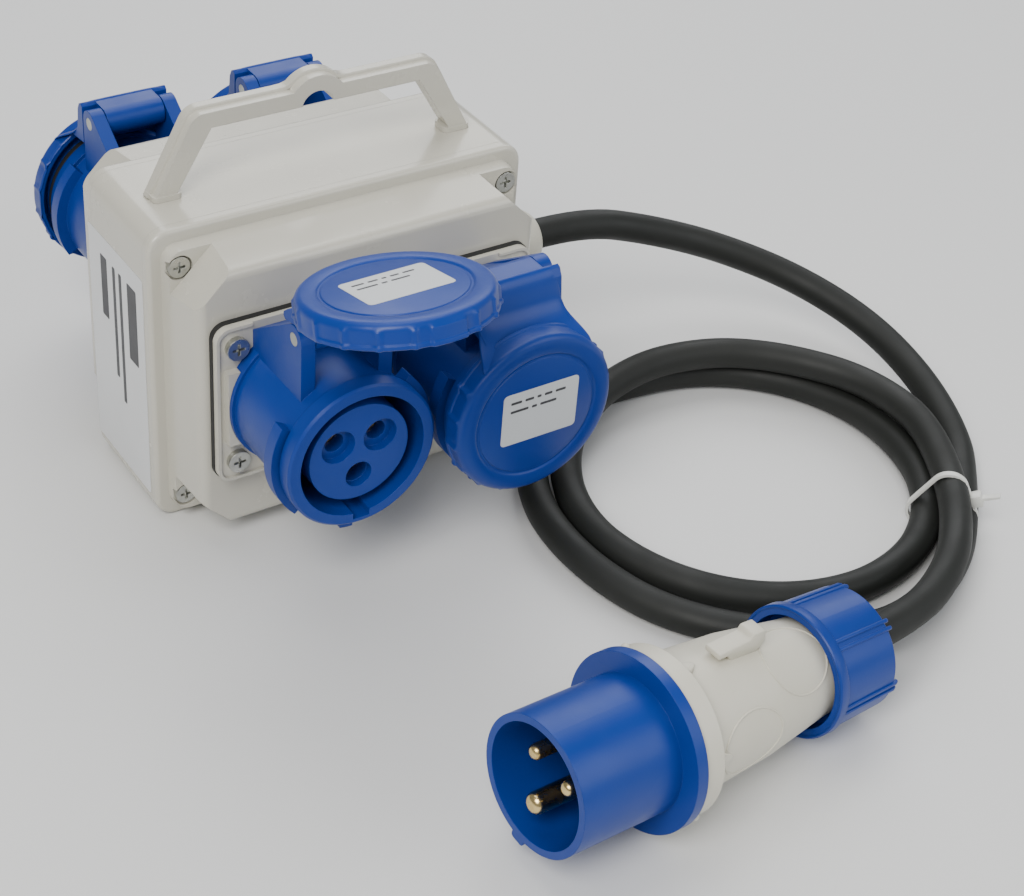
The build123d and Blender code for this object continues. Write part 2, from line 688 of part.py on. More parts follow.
def make_gland():
    wall = CASE_LENGTH / 2
    inner_wall = wall - CASE_WALL
    nut_face = wall + GLAND_FLANGE
    end = wall + GLAND_LENGTH
    bore = CABLE_RADIUS + 0.1
    seal_from = nut_face + 7
    seal_to = end - 7
    axis = Axis((0, 0, CASE_MID_Z), (1, 0, 0))
    with BuildPart() as gland_body:
        with BuildSketch(gland_plane(wall)):
            RegularPolygon(GLAND_HEX, 6, major_radius=False)
        extrude(amount=GLAND_FLANGE)
        with BuildSketch(gland_plane(wall)):
            Circle(THREAD_RADIUS)
        extrude(amount=-CASE_WALL - LOCKNUT_THICK - 2)
        with BuildSketch(gland_plane(nut_face)):
            Circle(THREAD_RADIUS - 0.8)
        extrude(amount=seal_from - nut_face)
        with BuildSketch(gland_plane(0)):
            Circle(bore)
        extrude(amount=end, mode=Mode.SUBTRACT)
    write(gland_body, "gland_body")
    with BuildPart() as gland_locknut:
        with BuildSketch(gland_plane(inner_wall)):
            RegularPolygon(GLAND_HEX, 6, major_radius=False)
            Circle(THREAD_RADIUS + 0.05, mode=Mode.SUBTRACT)
        extrude(amount=-LOCKNUT_THICK)
    write(gland_locknut, "gland_locknut")
    with BuildPart() as gland_seal:
        with BuildSketch(gland_plane(seal_from)):
            Circle(THREAD_RADIUS - 0.8)
            Circle(bore, mode=Mode.SUBTRACT)
        extrude(amount=seal_to - seal_from)
    write(gland_seal, "gland_seal")
    with BuildPart() as gland_nut:
        with BuildSketch(Plane(origin=(0, 0, CASE_MID_Z), x_dir=(1, 0, 0), z_dir=(0, -1, 0))):
            with BuildLine():
                Polyline(
                    (end - 8, GLAND_NUT_RADIUS),
                    (nut_face, GLAND_NUT_RADIUS),
                    (nut_face, THREAD_RADIUS - 0.7),
                    (seal_to, THREAD_RADIUS - 0.7),
                    (seal_to, bore),
                    (end, bore),
                    (end, GLAND_END_RADIUS),
                )
                ThreePointArc((end, GLAND_END_RADIUS), (end - 3.2, 11.0), (end - 8, GLAND_NUT_RADIUS))
            make_face()
        revolve(axis=axis)
    write(gland_nut, "gland_nut")
    with BuildPart() as cable_entry:
        with BuildSketch(gland_plane(CABLE_END_X)):
            Circle(CABLE_RADIUS)
        extrude(amount=end - CABLE_END_X)
    write(cable_entry, "cable_entry")


# ---- terminal block and supply wires ------------------------------------------------------
def make_terminals():
    floor = CASE_WALL
    top = floor + BLOCK_HEIGHT
    places = Locations((-TERMINAL_PITCH, 0), (0, 0), (TERMINAL_PITCH, 0))
    with BuildPart() as terminal_block:
        with BuildSketch(Plane.XY.offset(floor)):
            RectangleRounded(BLOCK_LENGTH, BLOCK_WIDTH, 1.5)
        extrude(amount=BLOCK_HEIGHT)
        with BuildSketch(Plane.XY.offset(top)):
            with places:
                Circle(TUNNEL_RADIUS)
        extrude(amount=-TUNNEL_DEPTH, mode=Mode.SUBTRACT)
    write(terminal_block, "terminal_block")
    with BuildPart() as terminal_clamps:
        with BuildSketch(Plane.XY.offset(top - TUNNEL_DEPTH)):
            with places:
                Circle(TUNNEL_RADIUS - 0.05)
        extrude(amount=TUNNEL_DEPTH - 1.0)
        with BuildSketch(Plane.XY.offset(top)):
            with places:
                Circle(WIRE_RADIUS + 0.05)
        extrude(amount=2.0 - TUNNEL_DEPTH, mode=Mode.SUBTRACT)
    write(terminal_clamps, "terminal_clamps")
    wires = {"wire_earth": (-1, -1.5, 1.4), "wire_neutral": (0, 1.5, 1.4), "wire_line": (1, 0, -1.6)}
    for label, (order, off_y, off_z) in wires.items():
        terminal_x = order * TERMINAL_PITCH
        rise = 12.0 - 6.0 * order
        route = [
            (CABLE_END_X, off_y, CASE_MID_Z + off_z),
            (CABLE_END_X - 12, off_y, CASE_MID_Z + off_z),
            (terminal_x + 7, off_y, top + rise + 8),
            (terminal_x, 0, top + rise),
            (terminal_x, 0, top - 7),
        ]
        with BuildPart() as wire:
            with BuildLine():
                line = FilletPolyline(*route, radius=4.0)
            with BuildSketch(line ^ 0):
                Circle(WIRE_RADIUS)
            sweep()
        write(wire, label)


# ---- plug -------------------------------------------------------------------------------
def plug_direction():
    level = cos(radians(PLUG_PITCH))
    heading = radians(PLUG_HEADING)
    return Vector(level * cos(heading), level * sin(heading), -sin(radians(PLUG_PITCH)))


def plug_plane(back, roll=PLUG_ROLL):
    """A plane across the plug, a distance back from its mouth: z to the cable, y up. The
    flange and the nut rest on the ground."""
    pitch = radians(PLUG_PITCH)
    height = PLUG_FLANGE_RADIUS * cos(pitch) + PLUG_FLANGE_END * sin(pitch) + 0.05
    direction = plug_direction()
    mouth = Vector(PLUG_MOUTH_XY[0], PLUG_MOUTH_XY[1], height)
    sideways = Vector(0, 0, 1).cross(direction)
    rolled = sideways.rotate(Axis((0, 0, 0), direction), roll)
    return Plane(origin=mouth, x_dir=rolled, z_dir=direction).offset(back)


def plug_profile_plane():
    """The plane through the plug's axis: x back to the cable, y away from the axis."""
    across = plug_plane(0)
    return Plane(origin=across.origin, x_dir=across.z_dir, z_dir=-across.x_dir)


def make_plug():
    profile = plug_profile_plane()
    axis = Axis(plug_plane(0).origin, plug_direction())
    inner = COLLAR_RADIUS - COLLAR_WALL
    spigot_end = PLUG_FLANGE_END + 6
    with BuildPart() as plug_collar:
        with BuildSketch(profile):
            with BuildLine():
                Polyline(
                    (0, inner),
                    (0, COLLAR_RADIUS),
                    (COLLAR_LENGTH - 1, COLLAR_RADIUS),
                    (COLLAR_LENGTH - 1, PLUG_FLANGE_RADIUS),
                    (PLUG_FLANGE_END, PLUG_FLANGE_RADIUS),
                    (PLUG_FLANGE_END, PLUG_SPIGOT),
                    (spigot_end, PLUG_SPIGOT),
                    (spigot_end, inner),
                    close=True,
                )
            make_face()
        revolve(axis=axis)
        with BuildSketch(plug_plane(0)):
            with Locations((0, -COLLAR_RADIUS)):
                RectangleRounded(5.4, 4.0, 1.2)
            Circle(inner + 1, mode=Mode.SUBTRACT)
        extrude(amount=COLLAR_LENGTH)
    write(plug_collar, "plug_collar")

    with BuildPart() as plug_insert:
        with BuildSketch(plug_plane(COLLAR_LENGTH - 1)):
            Circle(inner)
        extrude(amount=spigot_end - COLLAR_LENGTH + 1)
        with BuildSketch(plug_plane(COLLAR_LENGTH - 1)):
            for angle in CONTACT_ANGLES:
                pin = EARTH_PIN if angle == 270 else POLE_PIN
                point = contact_point(angle, 0)
                with Locations((point.X, point.Y)):
                    Circle(pin)
        extrude(amount=spigot_end, mode=Mode.SUBTRACT)
    write(plug_insert, "plug_insert")

    with BuildPart() as plug_pins:
        for angle in CONTACT_ANGLES:
            earth = angle == 270
            tip = EARTH_PIN_TIP if earth else POLE_PIN_TIP
            pin = EARTH_PIN if earth else POLE_PIN
            point = contact_point(angle, 0)
            with BuildSketch(plug_plane(tip)):
                with Locations((point.X, point.Y)):
                    Circle(pin)
            extrude(amount=PIN_END - tip)
    write(plug_pins, "plug_pins")

    with BuildPart() as plug_body:
        with BuildSketch(profile):
            with BuildLine():
                Polyline(
                    (PLUG_FLANGE_END, PLUG_SPIGOT),
                    (PLUG_FLANGE_END, PLUG_RING_RADIUS),
                    (PLUG_RING_END, PLUG_RING_RADIUS),
                    (PLUG_RING_END + 2, PLUG_SHOULDER),
                    (PLUG_WAIST_AT, PLUG_WAIST),
                    (NUT_START + 2, PLUG_NECK),
                    (PLUG_BODY_END, PLUG_NECK - 0.8),
                    (PLUG_BODY_END, PLUG_BODY_BORE),
                    (95, PLUG_BODY_BORE),
                    (85, 16.0),
                    (spigot_end + 1, 18.5),
                    (spigot_end + 1, PLUG_SPIGOT),
                    close=True,
                )
            make_face()
        revolve(axis=axis)
    write(plug_body, "plug_body")

    with BuildPart() as plug_clip:
        level = plug_plane(0, 0)
        with BuildSketch(Plane(origin=level.origin, x_dir=level.z_dir, z_dir=-level.x_dir)):
            with BuildLine():
                Polyline((64, 22.3), (64, 25.6), (80, 27.4), (84, 27.4), (84, 21.2), (76, 21.6), close=True)
            make_face()
        extrude(amount=CLIP_HALF, both=True)
        with BuildSketch(profile):
            with BuildLine():
                Polyline(
                    (PLUG_RING_END + 2, 0),
                    (PLUG_RING_END + 2, PLUG_SHOULDER),
                    (PLUG_WAIST_AT, PLUG_WAIST),
                    (NUT_START + 2, PLUG_NECK),
                    (NUT_START + 2, 0),
                    close=True,
                )
            make_face()
        revolve(axis=axis, mode=Mode.SUBTRACT)
    write(plug_clip, "plug_clip")

    bore = CABLE_RADIUS + 0.1
    with BuildPart() as plug_cable_seal:
        with BuildSketch(plug_plane(PLUG_BODY_END - 6)):
            Circle(PLUG_BODY_BORE - 0.1)
            Circle(bore, mode=Mode.SUBTRACT)
        extrude(amount=8.0)
    write(plug_cable_seal, "plug_cable_seal")

    with BuildPart() as plug_gland_nut:
        with BuildSketch(profile):
            with BuildLine():
                Polyline(
                    (NUT_START, NUT_BORE),
                    (NUT_START, NUT_FRONT_RADIUS),
                    (NUT_END - 2.5, NUT_REAR_RADIUS),
                    (NUT_END, NUT_REAR_RADIUS - 2.5),
                    (NUT_END, bore),
                    (PLUG_BODY_END + 2, bore),
                    (PLUG_BODY_END + 2, 16.5),
                    (PLUG_BODY_END - 4, 16.5),
                    (PLUG_BODY_END - 6, NUT_BORE),
                    close=True,
                )
            make_face()
        revolve(axis=axis)
    write(plug_gland_nut, "plug_gland_nut")

    with BuildPart() as plug_cable_end:
        with BuildSketch(plug_plane(PLUG_BODY_END - 12)):
            Circle(CABLE_RADIUS)
        extrude(amount=NUT_END - PLUG_BODY_END + 12)
    write(plug_cable_end, "plug_cable_end")


# ---- cable ------------------------------------------------------------------------------
def corner_radii(route):
    """Each corner's arc takes 0.45 of the shorter of its two runs."""
    radii = []
    for before, here, after in zip(route, route[1:], route[2:]):
        run_in = Vector(*here) - Vector(*before)
        run_out = Vector(*after) - Vector(*here)
        half_turn = radians(run_in.get_angle(run_out)) / 2
        radii.append(0.45 * min(run_in.length, run_out.length) / tan(half_turn))
    return radii


def make_cable_run(route, label):
    radii = corner_radii(route)
    with BuildPart() as run:
        with BuildLine():
            line = FilletPolyline(*route, radius=radii)
        with BuildSketch(line ^ 0):
            Circle(CABLE_RADIUS)
        sweep()
    length = line.length
    section = pi * CABLE_RADIUS ** 2
    print(label, "radii", [round(r) for r in radii], "length", round(length, 1),
          "volume / section x length", round(run.part.volume / (section * length), 4))
    write(run, label)


def make_coil():
    low = 2 * CABLE_RADIUS
    with BuildPart() as cable_coil:
        with BuildSketch(Plane.XY):
            with Locations(COIL_LOW_CENTRE):
                Circle(COIL_LOW_RADIUS)
            with Locations(COIL_HOLE_CENTRE):
                Ellipse(COIL_HOLE_X, COIL_HOLE_Y, mode=Mode.SUBTRACT)
        extrude(amount=low)
        chamfer(cable_coil.edges().filter_by(GeomType.CIRCLE).group_by(Axis.Z)[-1], 4.0)
        with BuildSketch(Plane.XY.offset(low)):
            with Locations(COIL_TOP_CENTRE):
                Circle(COIL_TOP_RADIUS)
            with Locations(COIL_HOLE_CENTRE):
                Ellipse(COIL_HOLE_X, COIL_HOLE_Y, mode=Mode.SUBTRACT)
        extrude(amount=COIL_TOP - low)
        chamfer(cable_coil.edges().filter_by(GeomType.CIRCLE).group_by(Axis.Z)[-1], 4.0)
    write(cable_coil, "cable_coil")


def make_tie():
    """A closed strap across the coil's ring, with its head and cut tail."""
    outward = Vector(1, 0, 0).rotate(Axis.Z, TIE_TURN)
    along = Vector(0, 1, 0).rotate(Axis.Z, TIE_TURN)
    strap = Plane(origin=(*TIE_AT, 12.0), x_dir=outward, z_dir=along)
    with BuildPart() as cable_tie:
        with BuildSketch(strap):
            RectangleRounded(29.0, 23.6, 6.0)
            RectangleRounded(26.4, 21.0, 5.0, mode=Mode.SUBTRACT)
        extrude(amount=2.2, both=True)
        with BuildSketch(strap):
            with Locations((16.0, 0)):
                Rectangle(4.4, 7.0)
            with Locations((21.0, 0)):
                Rectangle(8.0, 1.4)
        extrude(amount=2.4, both=True)
    write(cable_tie, "cable_tie")


def main():
    os.makedirs("parts", exist_ok=True)
    make_housing()
    for name in FACES:
        make_cover(name)
        make_cover_seal(name)
    make_screws("cover_screws", cover_screw_seats(), 3.8, 2.2, 1.9, 11.0)
    make_screws("flange_screws", flange_screw_seats(), 4.0, 2.2, 1.6, 13.0)
    for face_name in FACES:
        for side_name in SIDES:
            face = socket_face(face_name, side_name)
            label = f"{face_name}_{side_name}"
            make_gasket(face, label)
            make_flange(face, label)
            make_socket_body(face, label)
            make_insert(face, label)
            lid_place = swung(face, LID_OPEN) if label == "front_left" else face
            make_lid(lid_place, label)
            make_lid_seal(lid_place, label)
    make_contact_sleeves()
    make_hinge_pins()
    make_handle()
    handle_seats = []
    for x in (-HANDLE_SCREW_X, HANDLE_SCREW_X):
        handle_seats.append(Plane(origin=(x, HANDLE_Y, CASE_HEIGHT - CASE_WALL), z_dir=(0, 0, -1)))
    make_screws("handle_screws", handle_seats, 2.7, 2.0, 1.25, 8.5)
    make_gland()
    make_terminals()
    make_plug()
    nut_rear = plug_plane(NUT_END).origin
    tail_turn = plug_plane(NUT_END + TAIL_RUN).origin
    tail = [tuple(nut_rear), tuple(tail_turn), *TAIL_ROUTE]
    make_cable_run(LEAD_ROUTE, "cable_lead")
    make_cable_run(tail, "cable_tail")
    make_coil()
    make_tie()


main()
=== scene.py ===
import json
import math

import bmesh
import bpy
from mathutils import Matrix, Vector


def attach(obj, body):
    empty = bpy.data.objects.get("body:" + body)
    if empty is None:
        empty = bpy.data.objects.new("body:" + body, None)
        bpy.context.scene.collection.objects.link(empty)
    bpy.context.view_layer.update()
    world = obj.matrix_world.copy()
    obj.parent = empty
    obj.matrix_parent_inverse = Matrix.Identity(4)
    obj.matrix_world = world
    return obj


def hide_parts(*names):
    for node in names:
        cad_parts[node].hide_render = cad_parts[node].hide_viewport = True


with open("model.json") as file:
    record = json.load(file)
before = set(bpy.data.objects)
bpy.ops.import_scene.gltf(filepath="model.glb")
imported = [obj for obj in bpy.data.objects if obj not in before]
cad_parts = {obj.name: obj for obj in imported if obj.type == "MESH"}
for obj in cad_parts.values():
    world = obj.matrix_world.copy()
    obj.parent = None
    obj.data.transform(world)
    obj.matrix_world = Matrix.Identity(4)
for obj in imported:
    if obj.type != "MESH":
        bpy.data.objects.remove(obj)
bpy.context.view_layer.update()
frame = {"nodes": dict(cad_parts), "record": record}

# Every place is in metres, in the CAD frame: +X along the case to the cable gland, -Y out of
# the front sockets, +Z up, the origin under the middle of the case.

LIDS = ("front_left", "front_right", "rear_left", "rear_right")
OPEN_LID = "front_left"
CASE = "case"

# ---- sockets and lids, as in the CAD source ------------------------------------------------
# The panels' distance from the middle, the sockets' places on them, each hinge pin's place out
# of the panel and above its socket's middle, and how much higher a lid's middle is.
PANEL = 0.0455
SOCKET_X = 0.0303
SOCKET_Z = 0.0595
PIN_OUT = 0.0315
PIN_RISE = 0.040
LID_RISE = 0.0015
LID_OPEN = math.radians(103.0)

# ---- the cable's middle line ----------------------------------------------------------------
CABLE = 0.0116
GLAND_EXIT = (0.095, 0.0, 0.057)
LEAD_ROUTE = [
    GLAND_EXIT,
    (0.119, 0.0, 0.057),
    (0.149, -0.004, 0.0475),
    (0.178, -0.0125, 0.0365),
    (0.203, -0.033, 0.0265),
    (0.217, -0.063, 0.0185),
    (0.218, -0.096, 0.0115),
]
COIL_CENTRE = Vector((0.122, -0.107, 0.0))
# Angle turned (degrees, clockwise from +X), radius and height: the coil's turns pass through
# these stations, first over the outside, then round the inside, then on top.
COIL_STATIONS = [
    (14, 0.0876, 0.0070),
    (24, 0.0820, 0.0058),
    (38, 0.0785, 0.0058),
    (60, 0.0812, 0.0058),
    (95, 0.0884, 0.0058),
    (135, 0.0842, 0.0058),
    (180, 0.0785, 0.0058),
    (225, 0.0765, 0.0058),
    (248, 0.0715, 0.0058),
    (270, 0.0668, 0.0058),
    (360, 0.0660, 0.0058),
    (450, 0.0680, 0.0058),
    (540, 0.0660, 0.0058),
    (585, 0.0645, 0.0090),
    (608, 0.0625, 0.0145),
    (630, 0.0610, 0.0174),
    (675, 0.0635, 0.0174),
    (720, 0.0700, 0.0172),
    (745, 0.0728, 0.0168),
]
COIL_STEP = 15.0
TAIL_ROUTE = [
    (0.181, -0.149, 0.0165),
    (0.165, -0.172, 0.0178),
    (0.143, -0.193, 0.0190),
]
TAIL_RUN = 0.030

# ---- plug, measured back along its axis from the collar's mouth ------------------------------
# It rests on its flange's rim and its nut's rear edge.
PLUG_MOUTH_XY = (-0.0456, -0.2199)
PLUG_HEADING = math.radians(5.07)
PLUG_ROLL = math.radians(7.0)
PLUG_FLANGE_RADIUS = 0.0285
PLUG_FLANGE_END = 0.041
NUT_START = 0.1035
NUT_END = 0.1318
NUT_REAR_RADIUS = 0.0204
PLUG_PITCH = math.atan((PLUG_FLANGE_RADIUS - NUT_REAR_RADIUS) / (NUT_END - PLUG_FLANGE_END))


# ---- camera ------------------------------------------------------------------------------
CAMERA_AT = (-0.30345, -0.55332, 0.46361)
CAMERA_AZIMUTH = math.radians(35.758)
CAMERA_DOWN = math.radians(36.61)
CAMERA_ROLL = math.radians(4.833)
LENS = 73.79


def make_camera():
    """Built from its heading east of +Y, its tilt down and its roll."""
    look = Vector(
        (
            math.sin(CAMERA_AZIMUTH) * math.cos(CAMERA_DOWN),
            math.cos(CAMERA_AZIMUTH) * math.cos(CAMERA_DOWN),
            -math.sin(CAMERA_DOWN),
        )
    )
    level = Vector((math.cos(CAMERA_AZIMUTH), -math.sin(CAMERA_AZIMUTH), 0.0))
    above = level.cross(look)
    right = level * math.cos(CAMERA_ROLL) + above * math.sin(CAMERA_ROLL)
    up = right.cross(look)
    data = bpy.data.cameras.new("camera")
    data.lens = LENS
    data.sensor_width = 36.0
    data.clip_start = 0.01
    data.clip_end = 20.0
    camera = bpy.data.objects.new("camera", data)
    turn = Matrix((right, up, -look)).transposed().to_4x4()
    camera.matrix_world = Matrix.Translation(CAMERA_AT) @ turn
    bpy.context.scene.collection.objects.link(camera)
    bpy.context.scene.camera = camera


# ---- materials -----------------------------------------------------------------------------
# Radius of the edges' shaded rounding, and the stretch of the noise that is spread over 0 to 1.
EDGE_ROUND = 0.0004
NOISE_LOW = 0.3
NOISE_HIGH = 0.7
METAL_GRAIN = 0.00001


def new_material(name):
    material = bpy.data.materials.new(name)
    material.use_nodes = True
    nodes = material.node_tree.nodes
    return material, nodes, material.node_tree.links, nodes["Principled BSDF"]


def noise(nodes, links, scale, detail, roughness=0.5):
    """Noise in the piece's own place, so that it rides with the piece."""
    where = nodes.new("ShaderNodeTexCoord")
    texture = nodes.new("ShaderNodeTexNoise")
    texture.inputs["Scale"].default_value = scale
    texture.inputs["Detail"].default_value = detail
    texture.inputs["Roughness"].default_value = roughness
    links.new(where.outputs["Object"], texture.inputs["Vector"])
    return texture.outputs["Fac"]


def remap(nodes, links, value, low, high):
    """Spreads the noise's middle stretch over low to high."""
    spread = nodes.new("ShaderNodeMapRange")
    spread.inputs["From Min"].default_value = NOISE_LOW
    spread.inputs["From Max"].default_value = NOISE_HIGH
    spread.inputs["To Min"].default_value = low
    spread.inputs["To Max"].default_value = high
    links.new(value, spread.inputs["Value"])
    return spread.outputs["Result"]


def blend_colours(nodes, links, share, first, second):
    mix = nodes.new("ShaderNodeMix")
    mix.data_type = "RGBA"
    mix.inputs["A"].default_value = (*first, 1.0)
    mix.inputs["B"].default_value = (*second, 1.0)
    links.new(share, mix.inputs["Factor"])
    return mix.outputs["Result"]


def bump(nodes, links, heights, shader):
    """Stacks bumps, (height, distance in metres) pairs, on slightly rounded edges."""
    edge = nodes.new("ShaderNodeBevel")
    edge.samples = 4
    edge.inputs["Radius"].default_value = EDGE_ROUND
    normal = edge.outputs["Normal"]
    for height, distance in heights:
        node = nodes.new("ShaderNodeBump")
        node.inputs["Strength"].default_value = 1.0
        node.inputs["Distance"].default_value = distance
        links.new(height, node.inputs["Height"])
        links.new(normal, node.inputs["Normal"])
        normal = node.outputs["Normal"]
    links.new(normal, shader.inputs["Normal"])


def moulded(name, colour, tint, rough, grain=0.00002, coat=0.0, dirt_scale=9.0, ior=1.5):
    """Moulded plastic or rubber: cloudy colour, uneven gloss and a fine moulded grain."""
    material, nodes, links, shader = new_material(name)
    cloud = noise(nodes, links, dirt_scale, 5.0, 0.6)
    colour_out = blend_colours(nodes, links, remap(nodes, links, cloud, 0.0, 1.0), colour, tint)
    links.new(colour_out, shader.inputs["Base Color"])
    sheen_map = noise(nodes, links, 40.0, 4.0, 0.6)
    links.new(remap(nodes, links, sheen_map, *rough), shader.inputs["Roughness"])
    fine = noise(nodes, links, 1400.0, 2.0)
    wave = noise(nodes, links, 45.0, 2.0)
    bump(nodes, links, [(wave, grain * 6), (fine, grain)], shader)
    shader.inputs["Coat Weight"].default_value = coat
    shader.inputs["Coat Roughness"].default_value = 0.12
    shader.inputs["IOR"].default_value = ior
    return material


def metal(name, colour, tint, rough):
    """Plated steel or brass: one noise clouds both the colour and the gloss."""
    material, nodes, links, shader = new_material(name)
    cloud = noise(nodes, links, 160.0, 4.0, 0.6)
    colour_out = blend_colours(nodes, links, remap(nodes, links, cloud, 0.0, 1.0), colour, tint)
    links.new(colour_out, shader.inputs["Base Color"])
    links.new(remap(nodes, links, cloud, *rough), shader.inputs["Roughness"])
    bump(nodes, links, [(noise(nodes, links, 900.0, 3.0), METAL_GRAIN)], shader)
    shader.inputs["Metallic"].default_value = 1.0
    return material


def make_materials():
    grey = moulded("case_grey", (0.55, 0.53, 0.455), (0.525, 0.505, 0.43), (0.2, 0.3), coat=0.35)
    cream = moulded("fitting_cream", (0.66, 0.635, 0.54), (0.58, 0.555, 0.46), (0.34, 0.5))
    blue = moulded("socket_blue", (0.001, 0.036, 0.27), (0.0008, 0.028, 0.22), (0.3, 0.44), ior=1.42)
    rubber = moulded("seal_black", (0.012, 0.012, 0.012), (0.02, 0.02, 0.019), (0.5, 0.7), 0.00003)
    cable = moulded("cable_sheath", (0.01, 0.0115, 0.01), (0.018, 0.019, 0.017), (0.48, 0.66), ior=1.38)
    nylon = moulded("tie_nylon", (0.74, 0.74, 0.70), (0.66, 0.66, 0.61), (0.3, 0.45))
    dark = moulded("plug_face_dark", (0.006, 0.012, 0.035), (0.004, 0.008, 0.02), (0.35, 0.5))
    zinc = metal("screw_zinc", (0.62, 0.62, 0.58), (0.42, 0.43, 0.40), (0.22, 0.45))
    brass = metal("contact_brass", (0.80, 0.62, 0.30), (0.66, 0.48, 0.20), (0.16, 0.34))
    brown = moulded("wire_brown", (0.10, 0.035, 0.012), (0.08, 0.03, 0.01), (0.35, 0.5))
    light_blue = moulded("wire_blue", (0.03, 0.16, 0.5), (0.02, 0.12, 0.4), (0.35, 0.5))
    green = moulded("wire_green", (0.12, 0.35, 0.03), (0.5, 0.5, 0.03), (0.35, 0.5), dirt_scale=160.0)
    paper = moulded("label_paper", (0.62, 0.64, 0.65), (0.56, 0.58, 0.59), (0.4, 0.55), 0.00001)
    sticker = moulded("sticker_white", (0.70, 0.71, 0.72), (0.62, 0.63, 0.63), (0.35, 0.5), 0.00001)
    ink = moulded("print_ink", (0.03, 0.03, 0.035), (0.06, 0.06, 0.065), (0.4, 0.55), 0.00001)
    return {
        "case_plastic": grey,
        "gland_plastic": cream,
        "blue_plastic": blue,
        "seal_rubber": rubber,
        "cable_rubber": cable,
        "tie_nylon": nylon,
        "dark_plastic": dark,
        "zinc_steel": zinc,
        "contact_brass": brass,
        "wire_brown": brown,
        "wire_blue": light_blue,
        "wire_green_yellow": green,
        "label": paper,
        "sticker": sticker,
        "ink": ink,
    }


def paint_cad_nodes(materials):
    for part in frame["record"]["subparts"]:
        node = frame["nodes"][part["node"]]
        node.data.materials.clear()
        node.data.materials.append(materials[part["material_slot"]])


# ---- cable -------------------------------------------------------------------------------------
def coil_station(turned):
    """Radius and height after this angle, between the two stations about it."""
    for low, high in zip(COIL_STATIONS, COIL_STATIONS[1:]):
        if low[0] <= turned <= high[0]:
            share = (turned - low[0]) / (high[0] - low[0])
            share = share * share * (3 - 2 * share)
            return low[1] + (high[1] - low[1]) * share, low[2] + (high[2] - low[2]) * share
    return COIL_STATIONS[-1][1:]


def coil_points():
    """Control points a little outside the turns, because the spline cuts inside them."""
    outward = 1.0 / math.cos(math.radians(COIL_STEP / 2)) ** 0.9
    points = []
    turned = COIL_STATIONS[0][0]
    while turned <= COIL_STATIONS[-1][0]:
        radius, height = coil_station(turned)
        angle = -math.radians(turned)
        spot = Vector((math.cos(angle), math.sin(angle), 0.0)) * radius * outward
        points.append(COIL_CENTRE + spot + Vector((0, 0, height)))
        turned += COIL_STEP
    return points


def plug_axes():
    """The plug's mouth and its sideways, upward and backward directions."""
    level = math.cos(PLUG_PITCH)
    back = Vector(
        (level * math.cos(PLUG_HEADING), level * math.sin(PLUG_HEADING), -math.sin(PLUG_PITCH))
    )
    height = PLUG_FLANGE_RADIUS * level + PLUG_FLANGE_END * math.sin(PLUG_PITCH) + 0.00005
    side = Vector((0, 0, 1)).cross(back).normalized()
    return Vector((*PLUG_MOUTH_XY, height)), side, back.cross(side), back


def plug_matrix(roll=0.0):
    """Turns plug coordinates (sideways, up, back) into the frame's."""
    mouth, side, up, back = plug_axes()
    turn = Matrix((side, up, back)).transposed().to_4x4()
    return Matrix.Translation(mouth) @ turn @ Matrix.Rotation(roll, 4, "Z")


def make_cable(materials):
    """One smooth line: the lead down from the gland, the coil's turns, and up into the plug."""
    mouth, _, _, back = plug_axes()
    nut_rear = mouth + back * NUT_END
    tail_turn = mouth + back * (NUT_END + TAIL_RUN)
    points = [Vector(p) for p in LEAD_ROUTE]
    points += coil_points()
    points += [Vector(p) for p in TAIL_ROUTE]
    points += [tail_turn, nut_rear]
    curve = bpy.data.curves.new("supply_cable", "CURVE")
    curve.dimensions = "3D"
    curve.bevel_depth = CABLE / 2
    curve.bevel_resolution = 6
    curve.resolution_u = 8
    curve.use_fill_caps = True
    spline = curve.splines.new("NURBS")
    spline.points.add(len(points) - 1)
    for control, spot in zip(spline.points, points):
        control.co = (*spot, 1.0)
    spline.order_u = 3
    spline.use_endpoint_u = True
    cable = bpy.data.objects.new("supply_cable", curve)
    curve.materials.append(materials["cable_rubber"])
    bpy.context.scene.collection.objects.link(cable)
    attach(cable, CASE)
    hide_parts("cable_lead", "cable_coil", "cable_tail")
    return cable


# ---- mesh helpers ------------------------------------------------------------------------------
# Profiles and outlines of the pieces are in millimetres; place() turns them into metres.
MM = 0.001
# Points nearer than this, in millimetres, are one.
WELD = 0.002


def place(name, bm, matrix, materials, finish, body=CASE, sharp=40.0):
    """Turns a bmesh in millimetres into a piece that rides on a body."""
    bmesh.ops.remove_doubles(bm, verts=bm.verts, dist=WELD)
    bmesh.ops.recalc_face_normals(bm, faces=bm.faces)
    bmesh.ops.transform(bm, matrix=matrix @ Matrix.Scale(MM, 4), verts=bm.verts)
    if matrix.determinant() < 0:
        bmesh.ops.reverse_faces(bm, faces=bm.faces)
    mesh = bpy.data.meshes.new(name)
    bm.to_mesh(mesh)
    bm.free()
    for polygon in mesh.polygons:
        polygon.use_smooth = True
    mesh.set_sharp_from_angle(angle=math.radians(sharp))
    mesh.materials.append(materials[finish])
    piece = bpy.data.objects.new(name, mesh)
    bpy.context.scene.collection.objects.link(piece)
    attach(piece, body)
    return piece


def absorb(bm, other):
    """Adds another bmesh to this one and frees it."""
    scrap = bpy.data.meshes.new("scrap")
    other.to_mesh(scrap)
    other.free()
    bm.from_mesh(scrap)
    bpy.data.meshes.remove(scrap)


